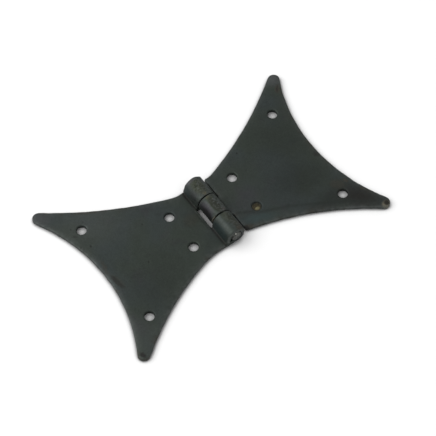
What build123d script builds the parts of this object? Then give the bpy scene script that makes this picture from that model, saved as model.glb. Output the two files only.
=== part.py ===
from build123d import *
import math
import os

# Hand-forged butterfly hinge, lying open and flat on its back, front side up.
# Three pieces: a left leaf with two rolled knuckles, a right leaf with one, and the pin.
# X runs across the open hinge, Y along the pin towards its far end, Z up from the back.
# The origin is on the back plane, under the pin and midway between the leaves' tips.
# Both leaves are drawn growing towards +X from the pin, and the left one is mirrored.

# Sheet, pin and running fit
sheet = 2.0
pin_diameter = 4.9
running_clearance = 0.05
pin_stand_out = 0.35
pin_end_round = 0.9
peened_length = 2.0

# Barrel: the knuckles' lengths along the pin, and where the far one ends
far_knuckle = 10.45
middle_knuckle = 10.0
near_knuckle = 10.75
knuckle_gap = 0.35
barrel_far_end = 14.3
tail_lean = 15.0
seam_gap = 0.2

# Leaf outline; each flank runs straight for a while past the barrel's side
leaf_reach = 64.0
leaf_height = 83.5
tip_radius = 2.8
left_end_radius = 77.2
right_end_radius = 79.0
far_flank_radius = 181.0
near_flank_radius = 131.0
far_straight_run = 4.45
near_straight_run = 7.9
far_blend = 12.0
near_blend = 30.0
left_edge_gap = 0.8
right_edge_gap = 1.6
right_near_cut = 1.5
inner_corner = 0.6
edge_round = 0.3

# Screw holes, as distances from the pin and from each pair's middle
hole_diameter = 4.2
countersink = 0.4
tip_hole_reach = 49.75
tip_hole_spacing = 49.9
inner_hole_reach = 16.45
inner_hole_spacing = 17.6
left_hole_shift = -1.2
right_hole_shift = -0.5

# Sizes that follow from the ones above
bore_radius = pin_diameter / 2 + running_clearance
knuckle_radius = bore_radius + sheet
barrel_length = far_knuckle + middle_knuckle + near_knuckle + 2 * knuckle_gap
barrel_near_end = barrel_far_end - barrel_length
middle_far_end = barrel_far_end - far_knuckle - knuckle_gap
middle_near_end = middle_far_end - middle_knuckle
tip_centre = Vector(leaf_reach - tip_radius, leaf_height / 2 - tip_radius)
far_corner = Vector(knuckle_radius + far_straight_run, barrel_far_end)
near_corner = Vector(knuckle_radius + near_straight_run, barrel_near_end)
pin_axis = Axis((0, 0, knuckle_radius), (0, 1, 0))


def towards(start, goal, distance):
    """The point that lies the given distance from start, on the way to goal."""
    return start + (goal - start).normalized() * distance


def flank_end(side, start, radius):
    """Where a hollow flank's arc, drawn from its start, meets the tip's round end.

    side is 1 for the far flank and -1 for the near one. The arc's centre stands off
    the sheet, at one radius from the start and tangent to the tip's circle.
    """
    tip = Vector(tip_centre.X, side * tip_centre.Y)
    span = tip - start
    along = (radius**2 - (radius + tip_radius) ** 2 + span.length**2) / (2 * span.length)
    across = math.sqrt(radius**2 - along**2)
    forward = span.normalized()
    outward = Vector(-forward.Y, forward.X) * side
    centre = start + forward * along + outward * across
    return towards(tip, centre, tip_radius)


def tip_end(side, end_radius):
    """Where the tip's round end meets the hollow arc of the leaf's outer end."""
    tip = Vector(tip_centre.X, side * tip_centre.Y)
    rise = end_radius + tip_radius
    centre = Vector(tip.X + math.sqrt(rise**2 - tip.Y**2), 0)
    return towards(tip, centre, tip_radius)


def tip_nose(side):
    """The outermost corner point of the tip's round end, on its bisector."""
    tip = Vector(tip_centre.X, side * tip_centre.Y)
    return tip + Vector(1, side).normalized() * tip_radius


def wing(inner_edge, end_radius, near_cut):
    """The flat outline from the leaf's inner edge out to its two tips.

    near_cut is how far the inner edge stops short of the barrel's near end.
    """
    inner_near = Vector(inner_edge, barrel_near_end + near_cut)
    far_meet = flank_end(1, far_corner, far_flank_radius)
    near_meet = flank_end(-1, near_corner, near_flank_radius)
    far_end, near_end = tip_end(1, end_radius), tip_end(-1, end_radius)
    scallop = Vector(far_end.X - arc_rise(far_end.Y, end_radius), 0)
    with BuildSketch() as sketch:
        with BuildLine():
            Line(inner_near, (inner_edge, barrel_far_end))
            Line((inner_edge, barrel_far_end), far_corner)
            flank_arc(far_corner, far_meet, far_flank_radius, 1)
            ThreePointArc(far_meet, tip_nose(1), far_end)
            ThreePointArc(far_end, scallop, near_end)
            ThreePointArc(near_end, tip_nose(-1), near_meet)
            flank_arc(near_corner, near_meet, near_flank_radius, -1)
            Line(near_corner, inner_near)
        make_face()
    return sketch.sketch


def arc_rise(half_chord, radius):
    """The height of a round arc over the middle of its chord."""
    return radius - math.sqrt(radius**2 - half_chord**2)


def flank_arc(start, end, radius, side):
    """A hollow arc between two points, bowed towards the leaf's middle."""
    span = end - start
    inward = Vector(span.Y, -span.X).normalized() * side
    ThreePointArc(start, (start + end) / 2 + inward * arc_rise(span.length / 2, radius), end)


def blank(inner_edge, strips, end_radius, near_cut):
    """The leaf cut flat: its wing and the strips that the knuckles are rolled from."""
    shape = wing(inner_edge, end_radius, near_cut)
    for strip_far, strip_near in strips:
        middle = (strip_far + strip_near) / 2
        shape += Pos(inner_edge / 2, middle) * Rectangle(inner_edge, strip_far - strip_near)
    shape = shape.clean()
    for corner, blend in ((far_corner, far_blend), (near_corner, near_blend)):
        shape = fillet(shape.vertices().sort_by_distance(corner)[0], blend)
    edge_corners = [v for v in shape.vertices() if is_inner_corner(v, inner_edge)]
    return fillet(edge_corners, inner_corner)


def is_inner_corner(vertex, inner_edge):
    """True for the corners along the leaf's inner edge."""
    return abs(vertex.X - inner_edge) < 0.01


def holes(shift):
    """The four screw holes, each with its lightly countersunk front rim."""
    drill = Cylinder(hole_diameter / 2, 3 * sheet)
    rim_radius = hole_diameter / 2 + countersink
    rim = Cone(hole_diameter / 2, rim_radius, countersink, align=(Align.CENTER, Align.CENTER, Align.MAX))
    tool = drill + Pos(0, 0, sheet) * rim
    places = [(tip_hole_reach, tip_hole_spacing / 2), (inner_hole_reach, inner_hole_spacing / 2)]
    return [Pos(x, shift + side * y, 0) * tool for x, y in places for side in (1, -1)]


def plate(flat, shift):
    """The leaf's flat sheet, with softened edges and drilled holes."""
    body = extrude(flat, sheet)
    rims = [e for face in body.faces().filter_by(Axis.Z) for e in face.edges() if e.center().X > 0.01]
    body = fillet(rims, edge_round)
    for hole in holes(shift):
        body -= hole
    return body


def curl(strip_far, strip_near):
    """One knuckle: the strip rolled back under, round and over the pin, with a straight tail.

    The roll starts under the pin and runs away from the leaf. It ends in a tail that leans
    out and comes down just short of the leaf's front, which leaves an open seam there.
    """
    length = strip_far - strip_near
    start = Plane(origin=(0, (strip_far + strip_near) / 2, sheet / 2), x_dir=(0, 1, 0), z_dir=(-1, 0, 0))
    section = start * RectangleRounded(length, sheet, edge_round)
    roll = revolve(section, pin_axis, 270 - tail_lean)
    lean = math.radians(tail_lean)
    tail_top = knuckle_radius + bore_radius * math.sin(lean)
    tail_length = (tail_top - sheet - seam_gap) / math.cos(lean)
    cut_end = roll.faces().filter_by(GeomType.PLANE).sort_by(Axis.Z)[-1]
    tail = extrude(cut_end, tail_length)
    return roll + tail


def leaf(inner_edge, strips, end_radius, near_cut, shift):
    """A whole leaf, plate and knuckles, in one piece."""
    body = plate(blank(inner_edge, strips, end_radius, near_cut), shift)
    for strip_far, strip_near in strips:
        body += curl(strip_far, strip_near)
    return body


def left_leaf():
    """The leaf with the far and the near knuckle."""
    strips = [
        (barrel_far_end, barrel_far_end - far_knuckle),
        (barrel_near_end + near_knuckle, barrel_near_end),
    ]
    shape = leaf(knuckle_radius + left_edge_gap, strips, left_end_radius, 0, left_hole_shift)
    return mirror(shape, Plane.YZ)


def right_leaf():
    """The leaf with the middle knuckle."""
    strips = [(middle_far_end, middle_near_end)]
    inner_edge = knuckle_radius + right_edge_gap
    return leaf(inner_edge, strips, right_end_radius, right_near_cut, right_hole_shift)


def hinge_pin():
    """The pin, with both ends peened out to grip the outer knuckles."""
    across = Plane(origin=(0, (barrel_far_end + barrel_near_end) / 2, knuckle_radius), z_dir=(0, 1, 0))
    whole_length = barrel_length + 2 * pin_stand_out
    shank = Cylinder(pin_diameter / 2, whole_length - peened_length)
    end = Cylinder(bore_radius, peened_length)
    place = (whole_length - peened_length) / 2
    body = shank + Pos(0, 0, place) * end + Pos(0, 0, -place) * end
    outer_rims = body.edges().filter_by(GeomType.CIRCLE).group_by(Axis.Z)
    body = fillet(outer_rims[0] + outer_rims[-1], pin_end_round)
    return across * body


os.makedirs("parts", exist_ok=True)
for name, shape in (("left_leaf", left_leaf()), ("right_leaf", right_leaf()), ("hinge_pin", hinge_pin())):
    export_step(shape, f"parts/{name}.step")
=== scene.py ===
import math

import bmesh
import bpy
import numpy as np
from mathutils import Matrix, Vector
from mathutils.kdtree import KDTree

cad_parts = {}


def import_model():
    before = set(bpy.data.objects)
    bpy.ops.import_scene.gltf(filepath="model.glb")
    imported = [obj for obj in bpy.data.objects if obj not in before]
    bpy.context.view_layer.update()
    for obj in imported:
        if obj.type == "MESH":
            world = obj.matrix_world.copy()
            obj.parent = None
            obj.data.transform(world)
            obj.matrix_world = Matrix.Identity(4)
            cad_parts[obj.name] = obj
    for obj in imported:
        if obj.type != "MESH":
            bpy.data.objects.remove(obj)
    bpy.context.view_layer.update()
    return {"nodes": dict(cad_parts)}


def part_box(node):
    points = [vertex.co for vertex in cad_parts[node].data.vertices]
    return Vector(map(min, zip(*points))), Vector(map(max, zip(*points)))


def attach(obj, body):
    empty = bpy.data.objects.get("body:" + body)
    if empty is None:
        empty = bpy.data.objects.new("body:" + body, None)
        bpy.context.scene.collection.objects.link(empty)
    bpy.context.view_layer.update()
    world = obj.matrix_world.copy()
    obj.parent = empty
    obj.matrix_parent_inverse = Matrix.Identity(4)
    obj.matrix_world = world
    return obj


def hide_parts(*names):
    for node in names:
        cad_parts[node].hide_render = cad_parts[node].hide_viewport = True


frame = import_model()

MM = 0.001

# Sizes of the CAD model that the worn surface is placed by, in millimetres
SHEET = 2.0
EDGE_ROUND = 0.3
KNUCKLE_RADIUS = 4.5
BORE_RADIUS = 2.5
BARREL_FAR_END = 14.3
BARREL_NEAR_END = -17.6
MIDDLE_FAR_END = 3.5
MIDDLE_NEAR_END = -6.5
KNUCKLE_GAP = 0.35
TAIL_X = 5.3
TAIL_LEAN = 15.0
FLAT_START = TAIL_X + 0.4

# Strips that each leaf's knuckles are rolled from: their far and near ends along the pin
LEFT_STRIPS = [
    (BARREL_FAR_END, MIDDLE_FAR_END + KNUCKLE_GAP),
    (MIDDLE_NEAR_END - KNUCKLE_GAP, BARREL_NEAR_END),
]
RIGHT_STRIPS = [(MIDDLE_FAR_END, MIDDLE_NEAR_END)]

# Mesh size of the forged pieces
LEAF_VOXEL = 0.3
PIN_VOXEL = 0.15

# The leaves' beaten rims: how wide they are, how much that wanders, and how deep they go
RIM_WIDTH = 2.1
RIM_WANDER = 0.8
RIM_DEPTH = 0.2

# Usual depths of uneven cut edges, of slow ripples in the sheet, and of tool marks on the knuckles
CUT_EDGE_DEPTH = 0.07
RIPPLE_DEPTH = 0.03
CHATTER_DEPTH = 0.05

# How far the knuckles' rims are hammered round, and how much that varies
BARREL_END_ROUND = (0.9, 0.25)
GAP_ROUND = (0.45, 0.15)

# The right leaf's rim along its near flank is hammered down, and the blow's edge shows as a crease.
# It fades in and out along X. Its slant turns a distance along Y into one square to the crease.
CREASE_X = (7.0, 16.7, 28.0, 50.0, 58.0)
CREASE_Y = (-6.6, -12.6, -17.4, -30.0, -36.0)
CREASE_FADE_IN = (6.5, 9.0)
CREASE_FADE_OUT = (54.0, 60.0)
CREASE_SLANT = 0.86
CREASE_DEPTH = 0.16

# Dried residue in the right leaf's near hole by the barrel: its middle and its half sizes
RESIDUE = ((16.45, -9.3, 0.55), (2.3, 2.3, 0.5))

# The share of its colours' brightness that each leaf's steel keeps
LEFT_SHADE = 0.68
RIGHT_SHADE = 0.645

# Camera, fitted to the outline and the eight holes in the photograph
CAMERA_AZIMUTH = 35.69083
CAMERA_ELEVATION = 58.74652
FOCAL_PIXELS = 1746.1235
PIXELS_PER_MM = 2.378475
CAMERA_SHIFT = (-2.592746, -2.412969)
PHOTO_SIDE = 436
SENSOR_WIDTH = 36.0


def smooth(low, high, value):
    """0 below low, 1 above high, and a smooth ramp between them."""
    t = np.clip((value - low) / (high - low), 0, 1)
    return t * t * (3 - 2 * t)


def waves(x, y, seed, length):
    """Smooth seeded unevenness, mostly between -1 and 1, with features about the given length across."""
    rng = np.random.default_rng(seed)
    total = np.zeros(len(x))
    count = 7
    for _ in range(count):
        heading = rng.uniform(0, 2 * math.pi)
        pace = 2 * math.pi / (length * rng.uniform(0.7, 1.6))
        phase = rng.uniform(0, 2 * math.pi)
        total += np.sin((x * math.cos(heading) + y * math.sin(heading)) * pace + phase)
    return total / math.sqrt(count * 2)


def dents(points, seed, area, count, radii, depths):
    """Seeded shallow hammer marks or pits, centred inside a box, as a depth for each point."""
    rng = np.random.default_rng(seed)
    low, high = area
    depth = np.zeros(len(points))
    for _ in range(count):
        centre = rng.uniform(low, high)
        radius = rng.uniform(*radii)
        deep = rng.uniform(*depths)
        stretch = rng.uniform(0.7, 1.0)
        turn = rng.uniform(0, math.pi)
        away = points - centre
        along = away[:, 0] * math.cos(turn) + away[:, 1] * math.sin(turn)
        across = (away[:, 1] * math.cos(turn) - away[:, 0] * math.sin(turn)) / stretch
        near = (along**2 + across**2 + away[:, 2] ** 2) / radius**2
        depth = np.maximum(depth, deep * np.clip(1 - near, 0, 1) ** 1.5)
    return depth


# Forged pieces: finely meshed copies of the CAD nodes, worn inwards


def remeshed(node, name, voxel, lump=None):
    """A copy of a CAD node with an even, fine mesh, grown together with a lump if one is given."""
    shell = bmesh.new()
    shell.from_mesh(frame["nodes"][node].data)
    bmesh.ops.remove_doubles(shell, verts=shell.verts, dist=0.001 * MM)
    if lump:
        middle, size = lump
        place = Matrix.Translation(Vector(middle) * MM) @ Matrix.Diagonal((*size, 1))
        bmesh.ops.create_icosphere(shell, subdivisions=4, radius=MM, matrix=place)
    mesh = bpy.data.meshes.new(name)
    shell.to_mesh(mesh)
    shell.free()
    piece = bpy.data.objects.new(name, mesh)
    bpy.context.scene.collection.objects.link(piece)
    even = piece.modifiers.new("even", "REMESH")
    even.mode = "VOXEL"
    even.voxel_size = voxel * MM
    depsgraph = bpy.context.evaluated_depsgraph_get()
    fine = bpy.data.meshes.new_from_object(piece.evaluated_get(depsgraph))
    piece.modifiers.clear()
    piece.data = fine
    fine.name = name
    fine.materials.clear()
    fine.polygons.foreach_set("use_smooth", np.ones(len(fine.polygons), bool))
    return piece


def points_of(piece):
    """The piece's vertices in millimetres, and their normals."""
    mesh = piece.data
    points = np.empty(len(mesh.vertices) * 3)
    normals = np.empty(len(mesh.vertices) * 3)
    mesh.vertices.foreach_get("co", points)
    mesh.vertex_normals.foreach_get("vector", normals)
    return points.reshape(-1, 3) / MM, normals.reshape(-1, 3)


def set_points(piece, points, node):
    """Gives the piece its worn vertices, kept inside the CAD node's box."""
    low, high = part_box(node)
    points = np.clip(points * MM, np.array(low), np.array(high))
    piece.data.vertices.foreach_set("co", points.ravel())
    piece.data.update()


def set_value(piece, name, values):
    """Stores one number per vertex for the materials to read."""
    attribute = piece.data.attributes.new(name, "FLOAT", "POINT")
    attribute.data.foreach_set("value", values.astype(np.float32))


def edge_distance(node, points):
    """How far each point stands from the leaf's outline, seen from above."""
    mesh = frame["nodes"][node].data
    spacing = 0.4
    tolerance = 0.01
    outline = []
    for edge in mesh.edges:
        a, b = (Vector(mesh.vertices[i].co) / MM for i in edge.vertices)
        if abs(a.z - EDGE_ROUND) < tolerance and abs(b.z - EDGE_ROUND) < tolerance:
            steps = max(1, int((b - a).length / spacing))
            outline += [a.lerp(b, i / steps) for i in range(steps + 1)]
    tree = KDTree(len(outline))
    for i, point in enumerate(outline):
        tree.insert((point.x, point.y, 0), i)
    tree.balance()
    return np.array([tree.find((x, y, 0))[2] for x, y in points[:, :2]])


def hammered(points, level, distance, seed):
    """How deep the flat sheet is beaten: its rim, its cut edge, and ripples and blows all over."""
    x, y = points[:, 0], points[:, 1]
    low, high = points.min(0), points.max(0)
    rim_width = RIM_WIDTH + RIM_WANDER * waves(x, y, seed, 9.0)
    rim = np.clip(1 - distance / rim_width, 0, 1)
    beaten = RIM_DEPTH * rim**1.6 * level
    uneven = CUT_EDGE_DEPTH * (1 + waves(x, y, seed + 1, 7.0)) * (1 - level) * (distance < 0.9)
    ripple = RIPPLE_DEPTH * (1 + waves(x, y, seed + 2, 14.0)) * level
    sheet_box = (low, high * [1, 1, 0.3])
    blows = dents(points, seed + 3, sheet_box, count=150, radii=(2.5, 5.0), depths=(0.02, 0.07))
    return beaten + uneven + ripple + blows


def scuffed(points, seed):
    """How deep the knuckles are scuffed: by tool marks, and by blows on their tops."""
    x, y, z = points.T
    chatter = CHATTER_DEPTH * (1 + waves(x * 1.3, y + z, seed + 5, 6.0))
    low = (-KNUCKLE_RADIUS, BARREL_NEAR_END, KNUCKLE_RADIUS)
    high = (KNUCKLE_RADIUS, BARREL_FAR_END, 2 * KNUCKLE_RADIUS)
    blows = dents(points, seed + 6, (low, high), count=60, radii=(1.0, 2.2), depths=(0.04, 0.14))
    return chatter + blows


def crease_at(points):
    """How far each point lies past the crease, and how strong the crease is there."""
    x, y = points[:, 0], points[:, 1]
    past = (np.interp(x, CREASE_X, CREASE_Y) - y) * CREASE_SLANT
    fade = smooth(*CREASE_FADE_IN, x) * (1 - smooth(*CREASE_FADE_OUT, x))
    return past, fade


def ream(points, from_axis):
    """Keeps the knuckles' bores open round the pin."""
    y = points[:, 1]
    worn_in = (from_axis < BORE_RADIUS + 0.15) & (y < BARREL_FAR_END) & (y > BARREL_NEAR_END)
    open_radius = np.maximum(from_axis, BORE_RADIUS + 0.02)
    growth = np.where(worn_in, open_radius / np.maximum(from_axis, 0.1), 1)
    points[:, 0] *= growth
    points[:, 2] = KNUCKLE_RADIUS + (points[:, 2] - KNUCKLE_RADIUS) * growth


def outward(points, sign):
    """How far out of the pin's axis a knuckle's points lie, and which way is out.

    Round the roll that is straight away from the axis, and on the tail it is square to it.
    """
    x, above = points[:, 0], points[:, 2] - KNUCKLE_RADIUS
    radius = np.maximum(np.hypot(x, above), 0.001)
    lean = math.radians(TAIL_LEAN)
    on_tail = above * math.cos(lean) < sign * x * math.sin(lean)
    on_tail &= sign * x > 0
    level_out = sign * x * math.cos(lean) + above * math.sin(lean)
    height = np.where(on_tail, level_out, radius)
    out_x = np.where(on_tail, sign * math.cos(lean), x / radius)
    out_z = np.where(on_tail, math.sin(lean), above / radius)
    return height, out_x, out_z


def round_over(points, sign, end, inward, width):
    """Rounds a knuckle's rim over at one of its ends, with a radius given for each point."""
    height, out_x, out_z = outward(points, sign)
    along = width - (points[:, 1] - end) * inward
    out = width - (KNUCKLE_RADIUS - height)
    reach = np.hypot(along, out)
    proud = (width > 0) & (along > 0) & (out > 0) & (reach > width)
    shrink = np.where(proud, width / np.maximum(reach, 0.001), 1)
    points[:, 0] -= out * (1 - shrink) * out_x
    points[:, 1] += inward * along * (1 - shrink)
    points[:, 2] -= out * (1 - shrink) * out_z


def round_knuckles(points, sign, strips, seed):
    """Hammers the knuckles' rims round: widely at the barrel's two ends, and a little at the gaps."""
    x, y, z = points.T.copy()
    round_the_roll = np.arctan2(x, z - KNUCKLE_RADIUS) * KNUCKLE_RADIUS
    fade = smooth(SHEET + 0.1, SHEET + 0.9, z) * (np.abs(x) < FLAT_START)
    for i, (far, near) in enumerate(strips):
        own = (y < far + 0.2) & (y > near - 0.2)
        for end, inward in ((far, -1), (near, 1)):
            outermost = end in (BARREL_FAR_END, BARREL_NEAR_END)
            usual, spread = BARREL_END_ROUND if outermost else GAP_ROUND
            width = usual + spread * waves(round_the_roll, z * 0, seed + 2 * i + inward, 4.0)
            round_over(points, sign, end, inward, width * fade * own)


def note_wear(piece, points, sign, strips, level, distance, from_axis):
    """Stores where a leaf's rim, rolls, cut edges and seams are, for its material."""
    x, y, z = points.T
    flat = (sign * x > FLAT_START) * 1.0
    in_strip = sum(((y < far + 0.1) & (y > near - 0.1)) * 1.0 for far, near in strips)
    from_end = np.min([np.abs(y - end) for strip in strips for end in strip], axis=0)
    in_wall = smooth(KNUCKLE_RADIUS - 1.2, KNUCKLE_RADIUS - 0.5, from_axis)
    on_roll = (1 - flat) * smooth(SHEET, SHEET + 0.6, z) * in_wall
    # Where painted shade goes along the seam between each knuckle's tail and its leaf
    seam = np.exp(-((sign * x - TAIL_X) / 0.6) ** 2) * (z > SHEET - 0.6) * (z < SHEET + 0.9)
    set_value(piece, "rim", np.exp(-distance / 1.1) * flat + 0.8 * np.exp(-from_end / 0.45) * on_roll)
    set_value(piece, "roll", on_roll)
    set_value(piece, "side", (1 - level) * flat)
    set_value(piece, "seam", seam * in_strip)


def forge_leaf(node, name, sign, strips, seed, lump=None):
    """One worn leaf: hammered faces, a beaten rim, pits, and knuckles with scuffed tops."""
    piece = remeshed(node, name, LEAF_VOXEL, lump)
    points, normals = points_of(piece)
    x, z = points[:, 0], points[:, 2]
    flat = (sign * x > FLAT_START) * 1.0
    distance = edge_distance(node, points)
    level = np.abs(normals[:, 2])
    whole_box = (points.min(0), points.max(0))

    beaten = hammered(points, level, distance, seed) * flat
    pits = dents(points, seed + 4, whole_box, count=240, radii=(0.35, 0.75), depths=(0.05, 0.14))
    depth = beaten + pits + scuffed(points, seed) * (1 - flat)
    crease = np.zeros(len(points))
    if sign > 0:
        past, fade = crease_at(points)
        depth += CREASE_DEPTH * smooth(-0.7, 0.9, past) * fade * (normals[:, 2] > 0.3)
        # Where a painted line of shade goes along the crease
        crease = np.exp(-((past - 0.2) / 0.75) ** 2) * fade * (z > SHEET / 2)

    from_axis = np.hypot(x, z - KNUCKLE_RADIUS)
    depth *= smooth(BORE_RADIUS + 0.3, BORE_RADIUS + 0.9, from_axis)
    worn = points - normals * depth[:, None]
    from_axis = np.hypot(worn[:, 0], worn[:, 2] - KNUCKLE_RADIUS)
    ream(worn, from_axis)
    round_knuckles(worn, sign, strips, seed + 7)
    set_points(piece, worn, node)

    note_wear(piece, points, sign, strips, level, distance, from_axis)
    set_value(piece, "sunk", np.clip(pits / 0.1, 0, 1))
    set_value(piece, "crease", np.clip(crease, 0, 1))
    return piece


def forge_pin():
    """The pin, with hammered ends."""
    piece = remeshed("hinge_pin", "pin", PIN_VOXEL)
    points, normals = points_of(piece)
    low, high = points.min(0), points.max(0)
    near_end = (low, [high[0], low[1] + 0.5, high[2]])
    far_end = ([low[0], high[1] - 0.5, low[2]], high)
    blows = np.zeros(len(points))
    for seed, area in ((71, near_end), (72, far_end)):
        blows += dents(points, seed, area, count=10, radii=(0.7, 1.3), depths=(0.08, 0.16))
    set_points(piece, points - normals * blows[:, None], "hinge_pin")
    set_value(piece, "sunk", np.clip(blows / 0.12, 0, 1))
    return piece


# Materials

# How the edge of a mark fades out, from its full strength to nothing, in shares of its size
CRISP = (0.4, 1.0)
CLOUDY = (0.0, 1.4)

# How far ragged marks stray, in millimetres: on the sheet, round the knuckles, and for small stains
SHEET_STRAY = 1.6
ROLL_STRAY = 0.7
STAIN_STRAY = 0.6

# The surfaces' specular level, and the strength of their bumps
SPECULAR = 0.3
BUMP = 0.6

# Fine scratches: their heading in degrees, their length and width, and the least noise that shows
SCRATCHES = [
    (25, 9.0, 0.10, 0.67),
    (-48, 7.0, 0.08, 0.69),
    (80, 5.0, 0.12, 0.7),
]


class Tree:
    """A material's node tree, with one short call for each kind of node."""

    def __init__(self, name):
        self.material = bpy.data.materials.new(name)
        self.material.use_nodes = True
        self.nodes = self.material.node_tree.nodes
        self.links = self.material.node_tree.links
        self.nodes.clear()
        self.output = self.nodes.new("ShaderNodeOutputMaterial")

    def put(self, socket, value):
        """Links or sets one input."""
        if isinstance(value, bpy.types.NodeSocket):
            self.links.new(value, socket)
        elif isinstance(value, (tuple, list)) and len(value) == 3 and socket.type == "RGBA":
            socket.default_value = (*value, 1)
        else:
            socket.default_value = value

    def place(self):
        """Where the point is on the object at rest, in millimetres."""
        source = self.nodes.new("ShaderNodeTexCoord")
        return self.scaled(source.outputs["Object"], 1 / MM)

    def scaled(self, vector, amount):
        """A place or a colour, times a number."""
        node = self.nodes.new("ShaderNodeVectorMath")
        node.operation = "SCALE"
        self.put(node.inputs[0], vector)
        self.put(node.inputs["Scale"], amount)
        return node.outputs[0]

    def noise(self, place, scale, detail=3.0, rough=0.55, distortion=0.0):
        """Cloudy noise around 0.5."""
        node = self.nodes.new("ShaderNodeTexNoise")
        self.put(node.inputs["Vector"], place)
        self.put(node.inputs["Scale"], scale)
        self.put(node.inputs["Detail"], detail)
        self.put(node.inputs["Roughness"], rough)
        self.put(node.inputs["Distortion"], distortion)
        return node.outputs["Fac"]

    def ramp(self, value, low, high, to_low=0.0, to_high=1.0):
        """A smooth ramp of a number from one range onto another."""
        node = self.nodes.new("ShaderNodeMapRange")
        node.interpolation_type = "SMOOTHSTEP"
        for socket, number in zip(node.inputs, (value, low, high, to_low, to_high)):
            self.put(socket, number)
        return node.outputs[0]

    def math(self, operation, first, *others):
        """One operation, worked out over two numbers or more from the first to the last."""
        total = first
        for other in others:
            node = self.nodes.new("ShaderNodeMath")
            node.operation = operation
            self.put(node.inputs[0], total)
            self.put(node.inputs[1], other)
            total = node.outputs[0]
        return total

    def times(self, *factors):
        """The product of two numbers or more."""
        return self.math("MULTIPLY", *factors)

    def plus(self, *terms):
        """The sum of two numbers or more."""
        return self.math("ADD", *terms)

    def most(self, *numbers):
        """The largest of two numbers or more."""
        return self.math("MAXIMUM", *numbers)

    def mix(self, amount, a, b):
        """Mixes two colours, by way of the node's colour sockets."""
        node = self.nodes.new("ShaderNodeMix")
        node.data_type = "RGBA"
        self.put(node.inputs[0], amount)
        self.put(node.inputs[6], a)
        self.put(node.inputs[7], b)
        return node.outputs[2]

    def unrolled(self, place):
        """The place on the barrel, as millimetres round it from the top, and along it."""
        parts = self.nodes.new("ShaderNodeSeparateXYZ")
        self.put(parts.inputs[0], place)
        above = self.math("SUBTRACT", parts.outputs["Z"], KNUCKLE_RADIUS)
        angle = self.math("ARCTAN2", parts.outputs["X"], above)
        flat = self.nodes.new("ShaderNodeCombineXYZ")
        self.put(flat.inputs["X"], self.times(angle, KNUCKLE_RADIUS))
        self.put(flat.inputs["Y"], parts.outputs["Y"])
        return flat.outputs[0]

    def fitted(self, place, centre, angle, size):
        """The place as seen from a centre, turned and measured in a size of its own."""
        fit = self.nodes.new("ShaderNodeMapping")
        fit.vector_type = "TEXTURE"
        self.put(fit.inputs["Vector"], place)
        self.put(fit.inputs["Location"], centre)
        self.put(fit.inputs["Rotation"], (0, 0, math.radians(angle)))
        self.put(fit.inputs["Scale"], size)
        return fit.outputs[0]

    def lines(self, place, angle, length, width, detail, rough):
        """Noise that is drawn out into lines of the given length and width."""
        drawn = self.fitted(place, (0, 0, 0), angle, (length, width, width))
        return self.noise(drawn, 1.0, detail, rough)

    def value(self, name):
        """A number stored on the piece's vertices."""
        node = self.nodes.new("ShaderNodeAttribute")
        node.attribute_name = name
        return node.outputs["Fac"]

    def strayed(self, place, amount):
        """The place, moved about by noise, for marks with ragged outlines."""
        noise = self.nodes.new("ShaderNodeTexNoise")
        self.put(noise.inputs["Vector"], place)
        self.put(noise.inputs["Scale"], 0.9)
        self.put(noise.inputs["Detail"], 3.0)
        centred = self.nodes.new("ShaderNodeVectorMath")
        centred.operation = "SUBTRACT"
        self.put(centred.inputs[0], noise.outputs["Color"])
        self.put(centred.inputs[1], (0.5, 0.5, 0.5))
        add = self.nodes.new("ShaderNodeVectorMath")
        add.operation = "MULTIPLY_ADD"
        self.put(add.inputs[0], centred.outputs[0])
        self.put(add.inputs[1], (amount, amount, amount))
        self.put(add.inputs[2], place)
        return add.outputs[0]

    def spot(self, place, centre, radii, angle=0, fade=CRISP):
        """A mark of its own: 1 in its middle, and 0 outside an ellipse at a place on the object."""
        length = self.nodes.new("ShaderNodeVectorMath")
        length.operation = "LENGTH"
        self.put(length.inputs[0], self.fitted(place, centre, angle, radii))
        return self.ramp(length.outputs["Value"], *fade, 1.0, 0.0)

    def spots(self, place, marks, fade=CRISP):
        """The strongest of several marks."""
        total = 0.0
        for centre, radii, angle, strength in marks:
            mark = self.times(self.spot(place, centre, radii, angle, fade), strength)
            total = self.most(mark, total)
        return total

    def finish(self, colour, metallic, roughness, height):
        """The surface shader, bumped by a height in millimetres."""
        shader = self.nodes.new("ShaderNodeBsdfPrincipled")
        self.put(shader.inputs["Base Color"], colour)
        self.put(shader.inputs["Metallic"], metallic)
        self.put(shader.inputs["Roughness"], roughness)
        self.put(shader.inputs["Specular IOR Level"], SPECULAR)
        node = self.nodes.new("ShaderNodeBump")
        self.put(node.inputs["Strength"], BUMP)
        self.put(node.inputs["Distance"], MM)
        self.put(node.inputs["Height"], height)
        self.put(shader.inputs["Normal"], node.outputs[0])
        self.put(self.output.inputs["Surface"], shader.outputs[0])
        return self.material


def srgb(*levels):
    """A colour given as 8-bit screen levels, as the shaders want it."""
    return tuple((v / 255 / 12.92) if v <= 10 else ((v / 255 + 0.055) / 1.055) ** 2.4 for v in levels)


# Colours of the steel, its wear and its stains, and of painted highlights and shade
GREEN_GREY = srgb(58, 65, 59)
BLUE_GREY = srgb(59, 66, 65)
TEAL_GREY = srgb(60, 74, 74)
PURPLE_GREY = srgb(61, 61, 64)
ROSE_GREY = srgb(76, 72, 69)
PALE_GREY = srgb(84, 88, 87)
DARK_GREY = srgb(44, 49, 46)
OLIVE = srgb(66, 71, 57)
DARK_OLIVE = srgb(47, 51, 41)
PALE_ROSE = srgb(90, 88, 92)
BROWN = srgb(58, 54, 44)
# Black scale, also used as painted shade in the seams, round the pin and low on the middle knuckle
BLACK_SCALE_AND_SHADE = srgb(28, 27, 25)
BRONZE = srgb(94, 90, 70)
MOSS_BLACK = srgb(38, 43, 35)
GILT_HIGHLIGHT = srgb(136, 130, 96)
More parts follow.
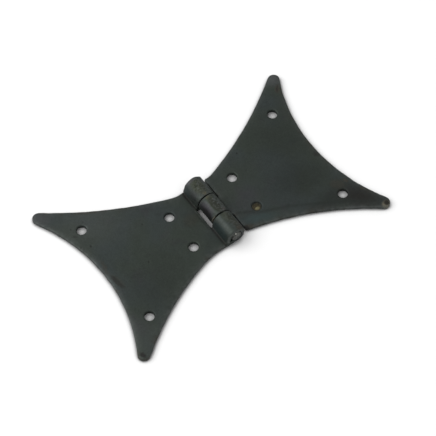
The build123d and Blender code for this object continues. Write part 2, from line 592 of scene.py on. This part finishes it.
# Painted golden highlight, for the residue in the right leaf's near hole
CREAM = srgb(150, 142, 122)
WORN_RIM = srgb(88, 92, 90)
RUST = srgb(80, 74, 50)
DARK_BROWN = srgb(42, 36, 24)
UMBER = srgb(43, 43, 41)
PIN_BRIGHT = srgb(84, 86, 82)
PIN_DARK = srgb(54, 56, 53)
# Painted highlight on the pin's near end
PIN_HIGHLIGHT = srgb(150, 150, 144)

# The tints that drift over the sheet, in the order they are laid on
SHEET_TINTS = {
    "blue": BLUE_GREY,
    "teal": TEAL_GREY,
    "violet": PURPLE_GREY,
    "dim": DARK_GREY,
    "umber": UMBER,
    "pale": PALE_GREY,
}

# The tints on the knuckles that lie under their flecks, among them painted highlights, and the stains
# and painted shade that lie over them
ROLL_TINTS = {
    "roll_pale_and_highlight": PALE_GREY,
    "roll_violet": PURPLE_GREY,
    "roll_teal": TEAL_GREY,
    "roll_rose": ROSE_GREY,
    "roll_olive": OLIVE,
    "roll_dark": DARK_OLIVE,
    "roll_wear_and_highlight": PALE_ROSE,
}
ROLL_STAINS = {
    "roll_brown": BROWN,
    "roll_black_and_shade": BLACK_SCALE_AND_SHADE,
}


def patina(t, place, ragged, marks):
    """Drifting green, blue and purple greys, with a dim cloud here and there."""
    clouds = t.ramp(t.noise(place, 0.045, 2.0), 0.4, 0.68)
    colour = t.mix(clouds, GREEN_GREY, BLUE_GREY)
    violet = t.ramp(t.noise(ragged, 0.11, 4.0), 0.55, 0.72, 0.0, 0.5)
    colour = t.mix(violet, colour, PURPLE_GREY)
    dim = t.ramp(t.noise(ragged, 0.21, 5.0, 0.65), 0.5, 0.75, 0.0, 0.35)
    colour = t.mix(dim, colour, DARK_GREY)
    for name, tint in SHEET_TINTS.items():
        colour = t.mix(t.spots(ragged, marks.get(name, ()), CLOUDY), colour, tint)
    return t.mix(t.spots(t.strayed(place, STAIN_STRAY), marks.get("cream", ())), colour, CREAM)


def scuffed_roll(t, place, colour, marks):
    """The knuckles' own wear: smooth where they face away, and rough and stained over the top, with
    painted highlights along their lit sides and rims, and painted shade low on the middle knuckle.
    """
    roll = t.value("roll")
    frayed = t.strayed(t.unrolled(place), ROLL_STRAY)

    # These marks include painted highlights and painted shade as well as wear
    def worn(name):
        """How strongly the marks of one name show on the knuckles."""
        return t.times(roll, t.spots(frayed, marks.get(name, ())))

    for name, tint in ROLL_TINTS.items():
        colour = t.mix(worn(name), colour, tint)
    rough = worn("roll_rough")
    flecks = t.noise(place, 1.1, 4.0, 0.7)
    colour = t.mix(t.times(rough, t.ramp(flecks, 0.52, 0.6, 0.0, 0.9)), colour, MOSS_BLACK)
    colour = t.mix(t.times(rough, t.ramp(flecks, 0.46, 0.38, 0.0, 0.7)), colour, PALE_GREY)
    # A painted highlight on the middle knuckle's near rim
    colour = t.mix(worn("roll_cream_highlight"), colour, CREAM)
    crumbs = t.ramp(t.noise(place, 1.8, 4.0, 0.7), 0.4, 0.6, 0.1, 1.0)
    colour = t.mix(t.times(worn("roll_bronze"), crumbs), colour, BRONZE)
    for name, tint in ROLL_STAINS.items():
        colour = t.mix(worn(name), colour, tint)
    return colour, t.math("MINIMUM", rough, 1.0)


def worn_rim(t, place, colour):
    """The beaten rim, worn pale and in places brown, and a painted line of shade along the crease."""
    rim = t.value("rim")
    pale_break = t.ramp(t.noise(place, 0.5, 4.0, 0.6), 0.35, 0.65, 0.25, 1.0)
    colour = t.mix(t.times(rim, pale_break, 0.85), colour, WORN_RIM)
    brown_break = t.ramp(t.noise(place, 0.16, 4.0, 0.6, 0.4), 0.5, 0.66)
    colour = t.mix(t.times(rim, brown_break, 0.7), colour, BROWN)
    # Painted shade: a dark line along the crease
    return t.mix(t.times(t.value("crease"), 0.5), colour, DARK_GREY)


def fine_scratches(t, place):
    """Sparse hair-thin scratches in three directions."""
    total = 0.0
    for angle, length, width, least in SCRATCHES:
        line = t.lines(place, angle, length, width, 1.0, 0.4)
        total = t.most(t.ramp(line, least, least + 0.06), total)
    return t.times(total, t.ramp(t.noise(place, 0.12, 3.0, 0.6), 0.42, 0.62, 0.15, 1.0))


def forged_steel(name, marks, shade):
    """Blue-grey forge patina on steel, with the wear and the stains of one leaf, painted shade in its
    seams and along its crease, and painted highlights on its knuckles and residue.
    """
    t = Tree(name)
    place = t.place()
    ragged = t.strayed(place, SHEET_STRAY)

    colour = patina(t, place, ragged, marks)
    colour, rough = scuffed_roll(t, place, colour, marks)
    colour = worn_rim(t, place, colour)

    brown = t.spots(ragged, marks.get("brown", ()))
    scale = t.spots(ragged, marks.get("scale", ()))
    rust = t.spots(place, marks.get("rust", ()))
    crust = t.ramp(t.noise(place, 1.0, 4.0, 0.7), 0.32, 0.68)
    colour = t.mix(brown, colour, BROWN)
    colour = t.mix(scale, colour, BLACK_SCALE_AND_SHADE)
    colour = t.mix(rust, colour, t.mix(crust, DARK_BROWN, RUST))
    colour = t.mix(t.spots(place, marks.get("blot", ())), colour, BLACK_SCALE_AND_SHADE)
    # A painted golden highlight on the residue in the right leaf's near hole
    colour = t.mix(t.spots(t.strayed(place, STAIN_STRAY), marks.get("residue_highlight", ())), colour, GILT_HIGHLIGHT)

    scratch = fine_scratches(t, place)
    pinholes = t.ramp(t.noise(place, 2.4, 3.0, 0.6), 0.62, 0.7)
    hollow = t.most(t.value("sunk"), t.times(pinholes, 0.6))
    colour = t.mix(t.times(scratch, 0.1), colour, WORN_RIM)
    colour = t.mix(t.times(hollow, 0.65), colour, BLACK_SCALE_AND_SHADE)
    # Painted shade along the seam where each knuckle's tail meets its leaf
    colour = t.mix(t.times(t.value("seam"), 0.85), colour, BLACK_SCALE_AND_SHADE)
    speckle = t.ramp(t.noise(place, 1.7, 6.0, 0.75), 0.35, 0.66, 0.9, 1.1)
    colour = t.scaled(colour, t.times(speckle, shade))

    dull = t.most(scale, rust, brown, rough)
    satin = t.ramp(t.noise(ragged, 0.3, 5.0, 0.6), 0.3, 0.7, 0.46, 0.6)
    roughness = t.plus(satin, t.times(dull, 0.25))
    metallic = t.ramp(dull, 0.0, 1.0, 0.75, 0.2)
    height = t.plus(
        t.times(t.noise(place, 2.6, 6.0, 0.65), 0.04),
        t.times(t.noise(place, 0.5, 4.0, 0.5), 0.05),
        t.times(scale, 0.06),
        t.times(rust, crust, 0.25),
        t.times(scratch, -0.006),
        t.times(hollow, -0.04),
        t.times(rough, t.noise(place, 1.4, 5.0, 0.7), 0.16),
        t.times(t.value("side"), t.lines(place, 0, 0.35, 4.0, 3.0, 0.6), 0.12),
    )
    return t.finish(colour, metallic, roughness, height)


def pin_steel():
    """Worn dark steel, with a painted highlight and a painted dark crescent of shade on the hammered
    near end.
    """
    t = Tree("pin_steel")
    place = t.place()
    tarnish = t.ramp(t.noise(place, 0.9, 5.0, 0.65), 0.35, 0.65)
    colour = t.mix(tarnish, PIN_BRIGHT, PIN_DARK)
    flecks = t.ramp(t.noise(place, 1.6, 4.0, 0.6), 0.55, 0.66, 0.0, 0.7)
    colour = t.mix(flecks, colour, BROWN)
    # Painted shade: a dark crescent where the gap round the pin lies in shadow
    crescent = t.spot(place, (-2.3, -17.9, 5.6), (0.9, 1.5, 2.4))
    colour = t.mix(t.times(crescent, 0.8), colour, BLACK_SCALE_AND_SHADE)
    # A painted highlight on the upper rim of the pin's near end
    glint = t.spot(place, (-0.4, -17.8, 6.7), (0.45, 1.2, 0.4))
    colour = t.mix(glint, colour, PIN_HIGHLIGHT)
    colour = t.mix(t.times(t.value("sunk"), 0.4), colour, DARK_GREY)
    roughness = t.ramp(tarnish, 0.0, 1.0, 0.3, 0.46)
    height = t.times(t.noise(place, 3.0, 5.0, 0.6), 0.03)
    return t.finish(colour, 0.85, roughness, height)


# Marks of wear and tone, among them painted highlights and painted shade: the middle, the half sizes,
# the turn in degrees and the strength of each.
# Those whose names start with roll are placed round the barrel from its top, and along it.
LEFT_MARKS = {
    "blue": [((-45.2, 8.5, 2), (5.5, 7.0, 6), 20, 0.8)],
    "violet": [((-60.5, 38.5, 2), (5.0, 4.0, 6), -35, 0.9), ((-56.0, -28.0, 2), (4.0, 6.0, 6), 30, 0.5)],
    "dim": [((-38.0, -16.0, 2), (17.0, 13.0, 9), 30, 0.45)],
    "pale": [
        ((-61.0, 39.0, 2), (7.0, 5.0, 6), -35, 0.45),
        ((-46.0, 24.0, 2), (17.0, 12.0, 9), -35, 0.36),
        ((-58.0, -32.0, 2), (9.0, 14.0, 9), 25, 0.22),
    ],
    "brown": [
        ((-44.0, 30.2, 2), (7.0, 1.6, 4), -30, 0.5),
        ((-10.0, 1.0, 2), (5.0, 4.0, 4), 0, 0.3),
        ((-51.2, -5.5, 2), (1.8, 6.0, 3), 10, 0.3),
        ((-52.0, 3.0, 1), (1.2, 6.0, 3), -12, 0.4),
    ],
    "scale": [
        ((-51.6, -5.6, 2), (1.2, 5.0, 2), 9, 0.6),
        ((-61.9, -39.3, 2), (1.3, 2.1, 2), 20, 0.9),
        ((-53.9, 22.4, 1), (1.4, 1.0, 2), -30, 0.5),
    ],
    # The first pale mark is a paler tone over the far knuckle, and the second is a painted highlight
    # band along the near knuckle's lit side
    "roll_pale_and_highlight": [((-2.5, 9.0, 0), (9.0, 8.0, 3), 0, 0.33), ((-2.9, -12.0, 0), (2.0, 7.5, 3), 0, 0.2)],
    "roll_violet": [((-4.6, 7.6, 0), (3.0, 2.6, 3), 0, 0.4)],
    "roll_teal": [((-6.5, -12.0, 0), (3.6, 6.5, 3), 0, 0.6), ((-7.0, 11.5, 0), (3.0, 2.6, 3), 0, 0.5)],
    "roll_rose": [((3.2, -15.2, 0), (3.0, 3.0, 3), 0, 0.7)],
    "roll_olive": [((-0.4, 9.6, 0), (3.6, 6.0, 3), 0, 0.9), ((0.6, -9.5, 0), (2.2, 4.5, 3), 0, 0.6)],
    "roll_dark": [
        ((0.9, 8.6, 0), (1.3, 3.8, 3), 12, 0.9),
        ((0.3, 5.9, 0), (1.7, 0.7, 3), 0, 0.6),
        ((2.2, -12.0, 0), (2.4, 5.6, 3), 0, 0.9),
    ],
    "roll_wear_and_highlight": [((-1.6, 13.2, 0), (3.4, 0.8, 3), 0, 0.6)],
    "roll_rough": [((0.6, 9.2, 0), (4.6, 7.5, 3), 0, 1.0), ((2.4, -12.5, 0), (4.0, 7.5, 3), 0, 1.0)],
    "roll_bronze": [((-0.1, 4.9, 0), (1.3, 1.5, 3), 0, 0.9)],
    "roll_brown": [((2.4, -16.9, 0), (2.6, 1.7, 3), 0, 0.8)],
}
RIGHT_MARKS = {
    "blue": [((30.0, 4.0, 2), (12.0, 9.0, 9), 20, 0.4)],
    "teal": [((14.0, -14.8, 2), (9.0, 3.0, 6), -25, 0.8)],
    "violet": [((17.5, -3.5, 2), (4.5, 5.0, 6), 0, 0.6), ((60.5, 38.5, 2), (3.0, 4.5, 6), 20, 0.8)],
    "dim": [
        ((46.0, 10.0, 2), (15.0, 15.0, 9), 0, 0.4),
        ((44.0, -25.0, 2), (9.0, 5.0, 6), -35, 0.7),
        ((39.0, -9.0, 2), (15.0, 11.0, 9), -20, 0.6),
    ],
    "umber": [((54.8, -31.0, 2), (13.0, 7.5, 6), -51, 1.0), ((38.0, -26.0, 2), (9.0, 3.2, 6), -25, 0.5)],
    "pale": [
        ((60.8, 39.6, 2), (4.8, 4.5, 6), 0, 0.95),
        ((12.0, 2.0, 2), (10.0, 16.0, 6), 0, 0.12),
        ((52.6, -36.4, 2), (9.5, 0.9, 3), -36, 0.7),
    ],
    "cream": [((61.4, -40.7, 2), (2.9, 2.6, 4), 0, 0.55)],
    "brown": [
        ((57.2, 16.0, 2), (2.2, 8.0, 4), -14, 0.8),
        ((59.4, 33.8, 2), (1.5, 3.0, 3), -40, 0.7),
        ((50.5, -20.5, 2), (4.5, 3.2, 4), -40, 0.4),
        ((54.5, -21.0, 2), (1.9, 1.1, 3), -50, 0.7),
        ((58.0, -28.3, 2), (1.6, 1.0, 3), -50, 0.6),
        ((8.0, -15.4, 2), (3.0, 1.4, 3), -25, 0.5),
    ],
    "scale": [
        ((59.3, 33.8, 2), (0.6, 2.4, 2), -40, 0.8),
        ((52.6, -3.1, 2), (1.7, 1.9, 2), 0, 0.6),
        ((6.6, -15.6, 2), (2.0, 1.5, 2), -35, 0.95),
    ],
    "rust": [((16.45, -9.3, 0.7), (3.0, 3.0, 1.4), 0, 1.0), ((61.9, -39.9, 2), (1.7, 1.6, 2), 0, 0.95)],
    "blot": [((61.9, -39.9, 2), (1.6, 1.5, 2), 0, 0.85)],
    # A painted golden highlight on the residue in the near hole
    "residue_highlight": [((16.3, -10.0, 1.0), (1.5, 1.0, 0.8), 0, 0.9)],
    "roll_pale_and_highlight": [((2.9, -1.5, 0), (1.4, 5.5, 3), 0, 0.35)],
    "roll_violet": [((-4.6, -1.0, 0), (3.2, 6.5, 3), 0, 1.0)],
    "roll_rose": [((1.8, -5.4, 0), (2.2, 1.2, 3), 0, 0.8)],
    "roll_olive": [((0.0, 1.4, 0), (1.8, 3.5, 3), 0, 1.2)],
    "roll_dark": [((0.0, -2.2, 0), (2.0, 5.4, 3), 4, 1.5)],
    # A painted highlight band along the middle knuckle's lit left side
    "roll_wear_and_highlight": [((-2.3, -1.6, 0), (0.9, 5.2, 3), 0, 0.25)],
    "roll_rough": [((1.7, -1.5, 0), (3.5, 7.5, 3), 0, 1.5)],
    # A painted highlight on the middle knuckle's near rim
    "roll_cream_highlight": [((-4.8, -6.5, 0), (2.8, 0.45, 3), 0, 1.0)],
    "roll_bronze": [((-0.4, 2.8, 0), (1.2, 1.0, 3), 0, 0.8)],
    # The first two are painted shade low on the middle knuckle's left side, and the last is a dark spot
    "roll_black_and_shade": [
        ((-5.5, -2.5, 0), (2.3, 5.0, 3), 0, 0.6),
        ((-6.0, -4.9, 0), (1.4, 1.6, 3), 0, 0.8),
        ((1.7, -2.7, 0), (0.5, 0.45, 3), 0, 0.7),
    ],
}


# Floor, light and camera

# How far the floor reaches each way, in metres, and how far it lies below the hinge, in millimetres
FLOOR_REACH = 6.0
FLOOR_DROP = 0.02

# How open the sky is and how white the floor is painted there, a painted shadow round the hinge and in
# its holes, and how far in millimetres that painted shade reaches
FLOOR_WHITE = ((0.3, 0.4), (0.52, 0.36), (0.8, 0.92))
SHADE_REACH = 4.0

# The world's strength: as light, and where it is seen or mirrored
WORLD_LIGHT = 0.78
WORLD_SEEN = 1.0


def floor():
    """A plain white floor under the hinge, with shadow painted into its colour close beneath the hinge's
    edges and in its holes.
    """
    mesh = bpy.data.meshes.new("floor")
    ways = ((-1, -1), (1, -1), (1, 1), (-1, 1))
    corners = [(x * FLOOR_REACH, y * FLOOR_REACH, 0) for x, y in ways]
    mesh.from_pydata(corners, [], [(0, 1, 2, 3)])
    ground = bpy.data.objects.new("floor", mesh)
    ground.location.z = -FLOOR_DROP * MM
    bpy.context.scene.collection.objects.link(ground)
    material = bpy.data.materials.new("floor")
    material.use_nodes = True
    shader = material.node_tree.nodes["Principled BSDF"]
    shader.inputs["Roughness"].default_value = 0.9
    shader.inputs["Specular IOR Level"].default_value = 0.1
    nodes, links = material.node_tree.nodes, material.node_tree.links
    open_sky = nodes.new("ShaderNodeAmbientOcclusion")
    open_sky.samples = 16
    open_sky.inputs["Distance"].default_value = SHADE_REACH * MM
    shade = nodes.new("ShaderNodeValToRGB")
    shade.color_ramp.elements.new(0.5)
    for stop, (openness, white) in zip(shade.color_ramp.elements, FLOOR_WHITE):
        stop.position = openness
        stop.color = (white, white, white, 1)
    # Painted shadow: the floor's colour darkens where the sky above it is closed off
    links.new(open_sky.outputs["AO"], shade.inputs["Fac"])
    links.new(shade.outputs["Color"], shader.inputs["Base Color"])
    mesh.materials.append(material)
    return ground


def world():
    """White where it is seen, straight on or mirrored, and a softer white as light."""
    sky = bpy.data.worlds.new("studio")
    bpy.context.scene.world = sky
    sky.use_nodes = True
    nodes, links = sky.node_tree.nodes, sky.node_tree.links
    background = nodes["Background"]
    background.inputs["Color"].default_value = (1, 1, 1, 1)
    path = nodes.new("ShaderNodeLightPath")
    seen = path.outputs["Is Camera Ray"]
    for kind in ("Is Glossy Ray", "Is Transmission Ray"):
        either = nodes.new("ShaderNodeMath")
        either.operation = "MAXIMUM"
        links.new(seen, either.inputs[0])
        links.new(path.outputs[kind], either.inputs[1])
        seen = either.outputs[0]
    strength = nodes.new("ShaderNodeMapRange")
    strength.inputs["To Min"].default_value = WORLD_LIGHT
    strength.inputs["To Max"].default_value = WORLD_SEEN
    links.new(seen, strength.inputs["Value"])
    links.new(strength.outputs[0], background.inputs["Strength"])


def softbox(name, direction, distance, size, power):
    """A square soft light, aimed at the hinge."""
    data = bpy.data.lights.new(name, "AREA")
    data.shape = "SQUARE"
    data.size = size
    data.energy = power
    lamp = bpy.data.objects.new(name, data)
    away = Vector(direction).normalized()
    lamp.location = away * distance
    lamp.rotation_mode = "QUATERNION"
    lamp.rotation_quaternion = away.to_track_quat("Z", "Y")
    bpy.context.scene.collection.objects.link(lamp)


def camera():
    """The camera that was fitted to the photograph."""
    azimuth, elevation = math.radians(CAMERA_AZIMUTH), math.radians(CAMERA_ELEVATION)
    right = Vector((math.cos(azimuth), -math.sin(azimuth), 0))
    level = math.cos(elevation)
    ahead = Vector((math.sin(azimuth) * level, math.cos(azimuth) * level, -math.sin(elevation)))
    up = right.cross(ahead)
    data = bpy.data.cameras.new("camera")
    data.sensor_width = SENSOR_WIDTH
    data.lens = FOCAL_PIXELS / PHOTO_SIDE * SENSOR_WIDTH
    data.clip_start = 0.01
    data.clip_end = 50.0
    eye = bpy.data.objects.new("camera", data)
    x_shift, y_shift = CAMERA_SHIFT
    place = (-x_shift * right + y_shift * up - FOCAL_PIXELS / PIXELS_PER_MM * ahead) * MM
    turn = Matrix((right, up, -ahead)).transposed().to_4x4()
    eye.matrix_world = Matrix.Translation(place) @ turn
    bpy.context.scene.collection.objects.link(eye)
    bpy.context.scene.camera = eye


left = forge_leaf("left_leaf", "left_forged_leaf", -1, LEFT_STRIPS, seed=11)
left.data.materials.append(forged_steel("left_patina", LEFT_MARKS, LEFT_SHADE))
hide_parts("left_leaf")
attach(left, "fixed_leaf")

right = forge_leaf("right_leaf", "right_forged_leaf", 1, RIGHT_STRIPS, seed=23, lump=RESIDUE)
right.data.materials.append(forged_steel("right_patina", RIGHT_MARKS, RIGHT_SHADE))
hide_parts("right_leaf")
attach(right, "swinging_leaf")

pin = forge_pin()
pin.data.materials.append(pin_steel())
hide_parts("hinge_pin")
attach(pin, "fixed_leaf")

ground = floor()
world()
softbox("window", direction=(-0.75, 0.6, 1.0), distance=1.2, size=1.1, power=9.5)
camera()

bpy.context.scene.view_settings.view_transform = "Standard"
